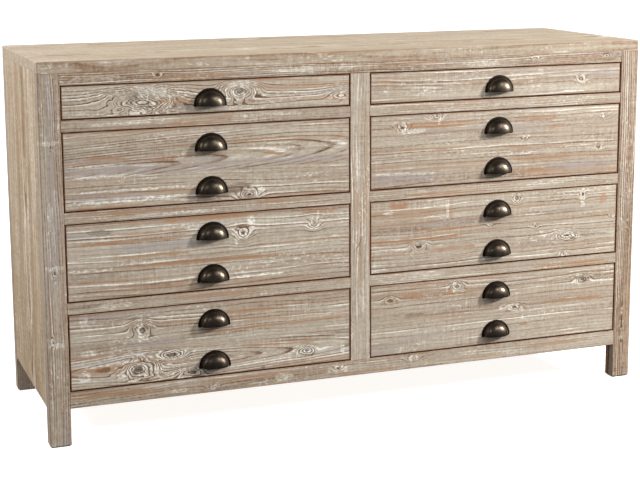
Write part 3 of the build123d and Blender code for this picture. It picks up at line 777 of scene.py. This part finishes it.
FRONTS = {
    "left_drawer_1": dict(
        grain={"Heart": 0.905, "Pith": 0.04, "Rise": -0.02, "Ring Width": 0.006},
        knots=[(-545, 812, 96, 33, 10), (-308, 826, 50, 28, 7), (-50, 806, 44, 18, 4)],
        strokes={
            "red": [(-470, 812, 110, 10, 0.8), (-200, 850, 200, 4, 0.7, -0.05)],
            # The first dark stroke is partly a painted shadow of the pull, falling to its lower
            # left.
            "dark": [(-455, 797, 50, 18, 0.5), (-566, 822, 26, 22, 0.7, 0.3),
                     (-535, 806, 34, 12, 0.6, -0.3)],
            "white": [(-520, 838, 90, 18, 0.8, -0.2), (-300, 845, 80, 16, 0.8),
                      (-555, 788, 40, 14, 0.9)],
        },
        looks=dict(Tone=0.67, Lines=0.9, Lime=0.45, Grey=0.35, Red=0.4),
    ),
    "left_drawer_2": dict(
        grain={"Heart": [0.45, 0.69], "Pith": [0.05, 0.047], "Rise": [0.0, 0.067],
               "Tilt": [-0.03, 0.06], "Ring Width": [0.008, 0.006], "Wander": [0.01, 0.004]},
        knots=[(-288, 576, 34, 17, 5)],
        strokes={
            "red": [(-640, 686, 90, 6, 1.0, -0.03), (-500, 674, 70, 5, 1.0),
                    (-225, 674, 60, 5, 1.0, -0.1), (-580, 601, 300, 4, 0.7, 0.01),
                    (-620, 571, 200, 6, 0.8)],
            "grey": [(-620, 657, 260, 24, 1.0), (-250, 655, 500, 16, 0.7)],
            "white": [(-650, 667, 150, 5, 1.0), (-640, 643, 190, 4, 1.0),
                      (-570, 607, 340, 5, 0.9, 0.01), (-590, 585, 290, 12, 0.9),
                      (-262, 588, 30, 20, 0.9)],
            "dark": [(-355, 588, 150, 24, 0.9, 0.16)],
        },
        looks=dict(Tone=[0.61, 0.59], Lines=[0.7, 0.8], Lime=[0.35, 0.4], Grey=[0.35, 0.3],
                   Red=[0.3, 0.45]),
    ),
    "left_drawer_3": dict(
        grain={"Heart": [0.30, 0.38], "Pith": 0.05, "Ring Width": [0.009, 0.008]},
        knots=[(-305, 482, 26, 22, 3), (-122, 492, 20, 18, 2)],
        strokes={
            "red": [(-390, 528, 270, 8, 1.0), (-530, 500, 190, 6, 1.0, 0.02),
                    (-590, 484, 280, 6, 1.0), (-110, 523, 100, 6, 0.9), (-530, 446, 200, 6, 0.9),
                    (-400, 423, 430, 7, 1.0, -0.01)],
            "grey": [(-510, 467, 240, 18, 1.0)],
            "dark": [(-655, 511, 60, 12, 0.7), (-670, 408, 130, 14, 0.4)],
            "white": [(-285, 505, 22, 36, 0.9), (-322, 480, 10, 50, 0.8), (-112, 505, 8, 36, 0.9),
                      (-680, 421, 110, 7, 1.0), (-270, 375, 140, 5, 0.9)],
        },
        looks=dict(Tone=[0.58, 0.65], Lines=[0.6, 0.6], Lime=[0.6, 0.45], Grey=[0.45, 0.6],
                   Red=[0.7, 0.3]),
    ),
    "left_drawer_4": dict(
        grain={"Heart": [0.178, 0.40], "Pith": [0.036, 0.05], "Rise": [0.08, 0.0],
               "Ring Width": [0.0055, 0.008], "Wander": [0.0035, 0.01]},
        knots=[(-568, 172, 60, 34, 7), (-490, 195, 44, 15, 5), (-560, 266, 30, 26, 4),
               (-143, 172, 26, 14, 3), (-440, 150, 44, 15, 4)],
        strokes={
            "white": [(-565, 268, 12, 56, 1.0), (-700, 300, 22, 36, 0.8),
                      (-640, 190, 170, 5, 0.9, 0.05), (-702, 165, 30, 26, 0.8),
                      (-48, 166, 12, 34, 0.9), (-690, 222, 40, 14, 0.8)],
            "dark": [(-610, 297, 180, 4, 0.8), (-258, 142, 12, 8, 0.9),
                     (-574, 166, 26, 20, 0.8, 0.3), (-545, 182, 30, 10, 0.7, -0.4)],
            "red": [(-300, 288, 230, 9, 0.8), (-240, 247, 440, 5, 0.9, 0.01),
                    (-660, 176, 130, 18, 0.8), (-200, 198, 230, 7, 0.8, -0.03)],
            "grey": [(-540, 231, 180, 12, 0.9)],
        },
        looks=dict(Tone=[0.63, 0.57], Lines=[0.9, 0.6], Lime=[0.45, 0.5], Grey=[0.4, 0.3],
                   Red=[0.4, 0.55]),
    ),
    "right_drawer_1": dict(
        grain={"Heart": 0.70, "Pith": 0.05, "Ring Width": 0.009},
        knots=[(618, 818, 20, 14, 2), (345, 787, 14, 8, 1)],
        strokes={
            "red": [(100, 834, 170, 4, 0.8), (400, 824, 300, 4, 0.4)],
            "white": [(600, 788, 70, 5, 0.8), (500, 845, 16, 20, 0.6)],
        },
        looks=dict(Tone=0.52, Lines=0.4, Lime=0.35, Grey=0.3, Red=0.35),
    ),
    "right_drawer_2": dict(
        grain={"Heart": [0.40, 0.50], "Pith": 0.05, "Ring Width": 0.009},
        knots=[(115, 716, 26, 16, 3), (208, 741, 22, 14, 3), (688, 718, 14, 9, 2),
               (675, 637, 14, 8, 2), (457, 672, 12, 7, 1)],
        strokes={
            "red": [(210, 725, 260, 5, 1.0), (180, 716, 250, 5, 1.0), (500, 725, 140, 7, 0.8),
                    (550, 700, 50, 9, 0.8, 0.1), (200, 660, 220, 5, 0.8),
                    (440, 650, 100, 6, 0.9, -0.12), (510, 618, 170, 9, 0.7),
                    (500, 586, 150, 8, 0.9)],
            "white": [(118, 716, 12, 36, 1.0), (150, 706, 60, 10, 0.9), (215, 738, 10, 30, 1.0),
                      (120, 600, 190, 6, 1.0, -0.03), (470, 637, 50, 9, 0.9)],
            "grey": [(120, 590, 190, 30, 0.8), (620, 592, 220, 26, 0.7)],
            "dark": [(450, 640, 90, 4, 0.6)],
        },
        looks=dict(Tone=[0.52, 0.52], Lines=0.5, Lime=[0.45, 0.35], Grey=[0.6, 0.45],
                   Red=[0.4, 0.35]),
    ),
    "right_drawer_3": dict(
        grain={"Heart": [0.50, 0.30], "Pith": 0.05, "Ring Width": [0.009, 0.008]},
        knots=[(160, 411, 26, 13, 3), (585, 407, 42, 14, 4), (437, 515, 14, 16, 2),
               (577, 357, 16, 10, 2), (632, 512, 12, 16, 2), (722, 449, 14, 8, 2),
               (362, 452, 12, 6, 1), (492, 440, 10, 8, 1)],
        strokes={
            "red": [(105, 520, 60, 16, 0.9), (150, 490, 130, 18, 0.5), (250, 498, 14, 48, 0.5),
                    (693, 500, 26, 32, 0.7), (240, 452, 220, 5, 0.9), (150, 430, 290, 6, 0.9),
                    (260, 401, 130, 6, 0.8)],
            "white": [(240, 505, 10, 40, 0.7), (632, 505, 14, 56, 0.9), (75, 502, 30, 8, 0.9)],
            "grey": [(260, 465, 220, 12, 0.7), (600, 480, 260, 8, 0.6)],
            "dark": [(660, 404, 110, 4, 0.7)],
        },
        looks=dict(Tone=[0.60, 0.57], Lines=[0.5, 0.6], Lime=[0.3, 0.3], Grey=[0.35, 0.35],
                   Red=[0.3, 0.35]),
    ),
    "right_drawer_4": dict(
        grain={"Heart": [0.35, 0.45], "Pith": 0.06, "Ring Width": [0.009, 0.010]},
        knots=[(82, 278, 20, 12, 2), (270, 298, 22, 14, 3), (435, 227, 30, 12, 3),
               (637, 284, 26, 14, 3)],
        strokes={
            "red": [(145, 284, 60, 14, 0.8), (250, 281, 40, 12, 0.7), (610, 233, 190, 6, 1.0),
                    (462, 178, 30, 5, 0.9)],
            "white": [(262, 297, 12, 32, 0.9), (420, 230, 60, 12, 0.9), (622, 284, 20, 26, 0.9),
                      (560, 291, 180, 4, 0.6)],
            "dark": [(645, 283, 24, 14, 0.8), (150, 232, 60, 10, 0.6), (220, 230, 180, 5, 0.5)],
            "grey": [(60, 150, 90, 30, 0.7)],
        },
        looks=dict(Tone=[0.62, 0.53], Lines=[0.4, 0.5], Lime=[0.3, 0.3], Grey=[0.35, 0.3],
                   Red=[0.4, 0.5]),
    ),
}
for number, (drawer, wood) in enumerate(FRONTS.items()):
    node = drawer + "_front"
    seams = () if drawer.endswith("1") else (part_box(node)[0].z + LOWER_PLANK,)
    dress(node, limed_pine(
        drawer.replace("_", " ") + " front", "XZY", 20 + number, wood["grain"], seams,
        wood["knots"], wood["strokes"], front_wear_and_shade(node), FRONT_FACE,
        **wood["looks"],
    ))


# Drawer boxes
# Plain pine sides, dovetailed into the front, and a back between them. They were never limed, so
# they keep the warm colour of the wood. The thin bottom slides into grooves from behind.


def plain_recipe():
    """Plain sawn and planed pine, a few years old."""
    given, end = recipe("Plain pine", {
        "Place": (0, 0, 0), "Rings": 0.0, "Core": 0.0, "Halo": 0.0, "Tone": 0.5,
    }, FINISH)
    place, rings, core, halo, tone = given
    fibre = noise(place, (8, 260, 260), 3, 0.65)
    cloud = noise(place, (2, 14, 14), 2)
    whole = maths("FLOOR", rings)
    phase = rings - whole
    late = ramp(phase, 0.15, 0.90) * (1 - ramp(phase, 0.92, 1.0)) * (chance(whole) * 0.5 + 0.5)
    ground = tint(paint(214, 186, 146), paint(190, 156, 112), ramp(cloud + tone * 0.4, 0.4, 0.9))
    ground = tint(ground, paint(160, 114, 70), late * 0.55)
    ground = tint(ground, paint(140, 104, 70), ramp(fibre, 0.52, 0.72) * 0.30)
    ground = tint(ground, paint(168, 116, 70), ramp(halo, 0.3, 0.9) * 0.35)
    ground = tint(ground, paint(84, 50, 30), core * 0.8)
    return hand_out(
        end, Colour=ground, Roughness=0.62 - late * 0.08,
        Height=late * 0.5 + fibre * 0.4 + core * 0.3,
    )


PLAIN_PINE = plain_recipe()
SAWN_RELIEF = 0.25 * MM


def plain_pine(name, lay, seed, tone=0.5, knots=()):
    """The finish of unpainted pieces.

    lay gives a point's along, across and deep, the number of its board, and where across the
    middle of that board is."""
    material, position = new_material(name)
    tree = material.node_tree
    along, across, deep, board, middle = lay(*position.parts())
    fields = add_knots(tree, vector(along, across, deep), knots)
    draw = chance(board + seed * SEED_STEP)
    moved = vector(along + draw * 9, across + draw * 5, deep + draw * 7)
    rings = {"Place": moved, "Lift": fields["Lift"] + draw * 3, **PLAIN_GRAIN}
    rings["Heart"] = draw * 5 + middle + (draw - 0.5) * 0.5
    rings["Pith"] = draw * -7 + 0.05 + draw * 0.05
    values = {"Place": moved, **shared(tree, PINE_RINGS, rings), "Core": fields["Core"],
              "Halo": fields["Halo"], "Tone": draw * 0.8 + tone - 0.4}
    finish(material, *shared(tree, PLAIN_PINE, values).values(), SAWN_RELIEF)
    return material


def box_lay(low, high):
    """Sides with their grain along Y, and a back with its grain along X."""
    def lay(x, y, z):
        back = maths("GREATER_THAN", y, high.y - BACK_THICKNESS)
        right = maths("GREATER_THAN", x, (low.x + high.x) / 2)
        into_side = maths("MINIMUM", x - low.x, high.x - x)
        into = into_side + back * (high.y - y - into_side)
        return y + back * (x - y), z, into, right * (1 - back) + back * 2, (low.z + high.z) / 2

    return lay


def bottom_lay(low, high):
    """One thin board, with its grain across the drawer."""
    return lambda x, y, z: (x, y, high.z - z, x * 0 + low.z, (low.y + high.y) / 2)


BACK_THICKNESS = 12 * MM
for number, drawer in enumerate(FRONTS):
    dress(drawer + "_box", plain_pine(
        drawer.replace("_", " ") + " box", box_lay(*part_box(drawer + "_box")), number,
    ))
    dress(drawer + "_bottom", plain_pine(
        drawer.replace("_", " ") + " bottom", bottom_lay(*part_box(drawer + "_bottom")), 40 + number,
        tone=0.7,
    ))


# Cup pulls
# Cast half domes of dark bronze. Each has a flat flange whose ears drop just below the lip, and
# two bosses inside the dome for the screws. Handling has kept the domes brighter than the flange.

FLANGE_RADIUS, FLANGE_THICKNESS, EAR_LENGTH = 40.5, 2.2, 2.5
DOME_RADIUS, DOME_PROJECTION, DOME_FULLNESS, DOME_WALL = 34.5, 24.0, 2.3, 1.8
BOSS_RADIUS, BOSS_LENGTH, SCREW_SPACING, SCREW_HEIGHT = 4.2, 11.0, 52.0, 8.0
PULL_X = 381.3 * MM
PULL_LIPS = {1: (797.75,), 2: (587.5, 691.5), 3: (372.5, 476.5), 4: (157.5, 261.5)}
HALF_TURN, DOME_BANDS, DOME_START = 48, 18, 0.0642
FILLET_REACH, FILLET_RISE, LIP_ROUND, FLANGE_INSIDE = 1.8, 0.8, 0.6, 33.9
FULL_TURN = [2 * math.pi * turn / 24 for turn in range(24)]


def dome_profile(inset, start):
    """The half dome's section, as distances from its middle and from the drawer's face."""
    points = []
    for band in range(DOME_BANDS + 1):
        angle = start + (math.pi / 2 - start) * (band / DOME_BANDS) ** 1.2
        out = (DOME_RADIUS - inset) * max(math.cos(angle), 0.0) ** (2 / DOME_FULLNESS)
        rise = (DOME_PROJECTION - inset) * math.sin(angle) ** (2 / DOME_FULLNESS)
        points.append((out if band < DOME_BANDS else 0.0, rise))
    return points


def turned(out, rise, turn, x=0.0, z=0.0):
    """A point of a section, turned about an axis that leaves the drawer's face at X and Z."""
    return x + out * math.cos(turn), -rise, z + out * math.sin(turn)


def skin(mesh, rows, value, closed=False):
    """Faces between rows of points. Each point's rim is a number, or what a rule makes of it."""
    layer = mesh.verts.layers.float.get("rim") or mesh.verts.layers.float.new("rim")
    grid = [[mesh.verts.new([part * MM for part in point]) for point in row] for row in rows]
    for row in grid:
        for vertex in row:
            vertex[layer] = value(vertex.co / MM) if callable(value) else value
    around = range(len(grid[0]) if closed else len(grid[0]) - 1)
    for row, after in zip(grid, grid[1:]):
        for at in around:
            nxt = (at + 1) % len(row)
            mesh.faces.new((row[at], row[nxt], after[nxt], after[at]))
    return grid


def finish_pattern(mesh, name, sharp):
    """Closes up a pattern's mesh, turns its faces outwards and makes it an object."""
    bmesh.ops.remove_doubles(mesh, verts=mesh.verts, dist=0.002 * MM)
    bmesh.ops.dissolve_degenerate(mesh, edges=mesh.edges, dist=0.001 * MM)
    bmesh.ops.recalc_face_normals(mesh, faces=mesh.faces)
    for face in mesh.faces:
        face.smooth = True
    pattern = bpy.data.objects.new(name, bpy.data.meshes.new(name))
    mesh.to_mesh(pattern.data)
    mesh.free()
    pattern.data.set_sharp_from_angle(angle=math.radians(sharp))
    bpy.context.scene.collection.objects.link(pattern)
    return pattern


def dark_edges(point):
    """A dome is as dark as its flange where it meets it, and along its lip."""
    return max(math.exp((FLANGE_THICKNESS + point.y) / 3.0), math.exp(-point.z / 1.3))


def pull_pattern():
    """One pull, with the middle of its lip at the origin and its back on Y = 0."""
    mesh = bmesh.new()
    outer = [
        (out + FILLET_REACH * math.exp((FLANGE_THICKNESS - rise) / FILLET_RISE), rise)
        for out, rise in dome_profile(0.0, DOME_START)
    ]
    outer[-1] = (0.0, DOME_PROJECTION)
    inner = dome_profile(DOME_WALL, 0.0)
    turns = [math.pi * turn / HALF_TURN for turn in range(HALF_TURN + 1)]
    for profile in (outer, inner):
        rows = [[turned(*point, turn) for point in profile] for turn in turns]
        skin(mesh, rows, dark_edges)
    skin(mesh, [[turned(*edge[0], turn) for turn in turns] for edge in (outer, inner)], 1.0)
    for side in (1, -1):
        lip = [
            ((a[0] + b[0]) / 2 * side, -(a[1] + b[1]) / 2, -LIP_ROUND)
            for a, b in zip(outer, inner)
        ]
        edges = [[(out * side, -rise, 0.0) for out, rise in line] for line in (outer, inner)]
        skin(mesh, [edges[0], lip, edges[1]], 1.0)
    section = [
        (FLANGE_INSIDE, 0.0), (FLANGE_RADIUS, 0.0), (FLANGE_RADIUS, 1.2), (40.2, 1.8),
        (39.5, 2.15), (37.0, FLANGE_THICKNESS), (FLANGE_INSIDE, FLANGE_THICKNESS),
    ]
    rows = []
    for drop, reach, slim in ((EAR_LENGTH, 38.6, 0.3), (1.6, 39.8, 0.0), (0.4, 40.5, 0.0)):
        rows.append([
            (min(out, reach), -min(rise, FLANGE_THICKNESS - slim), -drop) for out, rise in section
        ])
    ears = [[(-x, y, z) for x, y, z in row] for row in reversed(rows)]
    rows += [[turned(*point, turn) for point in section] for turn in turns]
    grid = skin(mesh, rows + ears, 1.0, closed=True)
    mesh.faces.new(grid[0])
    mesh.faces.new(grid[-1])
    for side in (1, -1):
        rings = ((BOSS_RADIUS, 0.0), (BOSS_RADIUS, BOSS_LENGTH - 0.8), (3.4, BOSS_LENGTH))
        grid = skin(mesh, [
            [turned(*ring, turn, side * SCREW_SPACING / 2, SCREW_HEIGHT) for turn in FULL_TURN]
            for ring in rings
        ], 1.0, closed=True)
        mesh.faces.new(grid[0])
        mesh.faces.new(grid[-1])
    return finish_pattern(mesh, "pull_pattern", 40)


def rows_and_columns():
    """The node tree that sets a pattern out in rows and columns and gives it its finish."""
    tree = bpy.data.node_groups.new("Rows and columns", "GeometryNodeTree")
    for label, kind in {
        "Pattern": "Object", "First": "Vector", "Columns": "Int", "Column Step": "Vector",
        "Rows": "Int", "Row Step": "Vector", "Finish": "Material",
    }.items():
        tree.interface.new_socket(label, in_out="INPUT", socket_type="NodeSocket" + kind)
    tree.interface.new_socket("Geometry", in_out="OUTPUT", socket_type="NodeSocketGeometry")
    entry, end = tree.nodes.new("NodeGroupInput"), tree.nodes.new("NodeGroupOutput")

    def node(kind, **sockets):
        made = tree.nodes.new("GeometryNode" + kind)
        for label, source in sockets.items():
            tree.links.new(source, made.inputs[label.replace("_", " ")])
        return made.outputs[0]

    def line(count, offset, **start):
        made = node("MeshLine", Count=entry.outputs[count], Offset=entry.outputs[offset], **start)
        made.node.mode = "OFFSET"
        return made

    columns = line("Columns", "Column Step", Start_Location=entry.outputs["First"])
    points = node(
        "RealizeInstances",
        Geometry=node("InstanceOnPoints", Points=columns, Instance=line("Rows", "Row Step")),
    )
    info = tree.nodes.new("GeometryNodeObjectInfo")
    tree.links.new(entry.outputs["Pattern"], info.inputs["Object"])
    copies = node("InstanceOnPoints", Points=points, Instance=info.outputs["Geometry"])
    whole = node("RealizeInstances", Geometry=copies)
    whole = node("SetMaterial", Geometry=whole, Material=entry.outputs["Finish"])
    tree.links.new(whole, end.inputs["Geometry"])
    return tree


SET_OUT = rows_and_columns()


def set_out(name, **values):
    """A plain mesh of a pattern's copies, made by the node tree and then let go of it."""
    holder = bpy.data.objects.new(name, bpy.data.meshes.new(name + "_start"))
    bpy.context.scene.collection.objects.link(holder)
    modifier = holder.modifiers.new("Rows and columns", "NODES")
    modifier.node_group = SET_OUT
    sockets = {item.name: item.identifier for item in SET_OUT.interface.items_tree}
    for label, value in values.items():
        modifier[sockets[label.replace("_", " ")]] = value
    settled = holder.evaluated_get(bpy.context.evaluated_depsgraph_get())
    mesh = bpy.data.meshes.new_from_object(settled)
    mesh.name = name
    holder.modifiers.clear()
    holder.data = mesh
    return holder


def bronze_recipe():
    """Dark bronze: brown and glossy where it is handled, almost black in its corners."""
    given, end = recipe("Dark bronze", {"Place": (0, 0, 0), "Rim": 0.0}, FINISH)
    place, rim = given
    cloud = noise(place, (60, 60, 60), 3, 0.6)
    cast = noise(place, (420, 420, 420), 2, 0.6)
    ground = tint((0.108, 0.086, 0.064, 1.0), (0.062, 0.048, 0.036, 1.0), ramp(cloud, 0.35, 0.65))
    ground = tint(ground, (0.020, 0.014, 0.011, 1.0), maths("MINIMUM", rim, 1.0) * 0.92)
    return hand_out(
        end, Colour=ground, Roughness=0.29 + cloud * 0.12 + maths("MINIMUM", rim, 1.0) * 0.15,
        Height=cast * 0.5 + cloud * 0.5,
    )


def metal(name, group, relief, sheen):
    """A metal's finish, which changes where the piece's mesh keeps a rim."""
    material, position = new_material(name)
    tree = material.node_tree
    rim = Field(step(tree, "Attribute", {}, attribute_name="rim").outputs["Fac"])
    results = shared(tree, group, {"Place": position, "Rim": rim})
    finish(material, *results.values(), relief, sheen)
    tree.nodes["Principled BSDF"].inputs["Metallic"].default_value = 1.0
    return material


def pull_rows(drawer):
    """The X of a drawer's pulls, the lowest lip's Z, their number and the step between them."""
    lips = PULL_LIPS[int(drawer[-1])]
    across = PULL_X if drawer.startswith("right") else -PULL_X
    return across, lips[0] * MM, len(lips), (0.0, 0.0, (lips[-1] - lips[0]) * MM)


DARK_BRONZE = metal("dark bronze", bronze_recipe(), 0.05 * MM, 0.5)
PULL = pull_pattern()
for drawer in FRONTS:
    across, lip, rows, row_step = pull_rows(drawer)
    pulls = set_out(
        drawer + "_cup_pulls", Pattern=PULL, Finish=DARK_BRONZE,
        First=(across, FRONT_FACE, lip), Columns=1, Rows=rows, Row_Step=row_step,
    )
    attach(pulls, drawer)
    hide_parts(drawer + "_pulls")
bpy.data.objects.remove(PULL)


# Pull screws
# Zinc-plated machine screws with a pan head and a cross recess. They go through the front from
# inside the drawer into the bosses of the pulls.

HEAD_RADIUS, HEAD_HEIGHT, SHANK_RADIUS, SCREW_BITE = 4.0, 2.6, 2.0, 8.0
RECESS_ARM, RECESS_HALF, RECESS_DEPTH, RECESS_TAPER = 1.9, 0.42, 1.5, 0.8
FRONT_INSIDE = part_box("left_drawer_1_front")[1].y


def screw_pattern():
    """One screw, with its head on Y = 0 and its point towards the front."""
    mesh = bmesh.new()
    thread = FRONT_INSIDE - FRONT_FACE + SCREW_BITE * MM
    profile = [
        (1.4, -thread / MM), (SHANK_RADIUS, 0.8 - thread / MM), (SHANK_RADIUS, 0.0),
        (HEAD_RADIUS, 0.0), (HEAD_RADIUS, 1.3), (3.7, 2.0), (3.1, 2.45), (2.6, HEAD_HEIGHT),
    ]
    grid = skin(mesh, [
        [turned(radius, -depth, turn) for turn in FULL_TURN] for radius, depth in profile
    ], 0.0, closed=True)
    mesh.faces.new(grid[0])
    quarter = (
        (RECESS_ARM, -RECESS_HALF), (RECESS_ARM, RECESS_HALF), (RECESS_HALF, RECESS_HALF)
    )
    cross = []
    for turn in range(4):
        c, s = math.cos(turn * math.pi / 2), math.sin(turn * math.pi / 2)
        cross += [(x * c - z * s, x * s + z * c) for x, z in quarter]
    walls = skin(mesh, [
        [(x, HEAD_HEIGHT, z) for x, z in cross],
        [(x * RECESS_TAPER, HEAD_HEIGHT - RECESS_DEPTH, z * RECESS_TAPER) for x, z in cross],
    ], 1.0, closed=True)
    mesh.faces.new(walls[-1])
    edges = []
    for ring in (grid[-1], walls[0]):
        edges += [mesh.edges.get((a, b)) for a, b in zip(ring, ring[1:] + ring[:1])]
    bmesh.ops.triangle_fill(mesh, edges=edges, use_beauty=True)
    return finish_pattern(mesh, "screw_pattern", 30)


def zinc_recipe():
    """Bright zinc plate that has dulled in patches, darker in the recess."""
    given, end = recipe("Zinc plate", {"Place": (0, 0, 0), "Rim": 0.0}, FINISH)
    place, recess = given
    dull = noise(place, (300, 300, 300), 3, 0.6)
    ground = tint((0.62, 0.61, 0.58, 1.0), (0.40, 0.39, 0.36, 1.0), ramp(dull, 0.4, 0.65))
    ground = tint(ground, (0.10, 0.09, 0.08, 1.0), recess * 0.6)
    return hand_out(end, Colour=ground, Roughness=0.28 + dull * 0.25, Height=dull * 1.0)


ZINC_PLATE = metal("zinc plate", zinc_recipe(), 0.03 * MM, 0.25)
SCREW = screw_pattern()
for drawer in FRONTS:
    across, lip, rows, row_step = pull_rows(drawer)
    screws = set_out(
        drawer + "_pull_screws", Pattern=SCREW, Finish=ZINC_PLATE,
        First=(across - SCREW_SPACING / 2 * MM, FRONT_INSIDE, lip + SCREW_HEIGHT * MM),
        Columns=2, Column_Step=(SCREW_SPACING * MM, 0.0, 0.0), Rows=rows, Row_Step=row_step,
    )
    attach(screws, drawer)
    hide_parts(drawer + "_screws")
bpy.data.objects.remove(SCREW)


# Runners, guides, stops and kickers
# Squared sticks of plain pine. Each drawer slides on two runners between two guides, and stops
# against two blocks. The kickers keep the top drawers level when they are out.


STICKS_PER_METRE, STICK_ROW, STICK_TOP = 5.3, 0.215, 0.8


def stick_lay(x, y, z):
    """Grain along Y, and a new piece of wood for every stick."""
    board = maths("FLOOR", x * STICKS_PER_METRE) + maths("FLOOR", z / STICK_ROW) * 7
    return y, x, z - STICK_TOP, board, 0.0


STICKS = plain_pine("sticks", stick_lay, 21)
for node in ("drawer_runners", "drawer_guides", "drawer_stops", "top_kickers"):
    dress(node, STICKS)


# Back, partition and floor board
# Eight plain boards stand side by side between the back posts, against two back rails. The
# partition between the columns and the thin floor board are plain too.

BACK_PITCH = (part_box("back_boards")[1].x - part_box("back_boards")[0].x) / 8
BACK_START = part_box("back_boards")[0].x
PARTITION_BOARD, FLOOR_BOARD, FLOOR_TOP, BETWEEN_BACK_RAILS = 0.12, 0.16, 0.1, 0.5


def back_lay(x, y, z):
    """Upright boards side by side."""
    board = maths("FLOOR", (x - BACK_START) / BACK_PITCH)
    return z, x, BACK - y, board, (board + 0.5) * BACK_PITCH + BACK_START


dress("back_boards", plain_pine(
    "back boards", back_lay, 25, tone=0.7,
    knots=[(610, -620, 26, 14, 3), (300, -250, 22, 12, 3), (720, -60, 20, 11, 2),
           (240, 180, 24, 12, 3), (560, 420, 22, 13, 3), (350, 655, 20, 11, 2)],
))
dress("back_rails", plain_pine(
    "back rails",
    lambda x, y, z: (x, z, BACK - y, maths("GREATER_THAN", z, BETWEEN_BACK_RAILS), 0.5), 26,
))
dress("centre_partition", plain_pine(
    "centre partition", lambda x, y, z: (z, y, x, maths("FLOOR", y / PARTITION_BOARD), 0.0), 27,
))
dress("floor_board", plain_pine(
    "floor board",
    lambda x, y, z: (x, y, z - FLOOR_TOP, maths("FLOOR", y / FLOOR_BOARD), 0.0), 28,
))
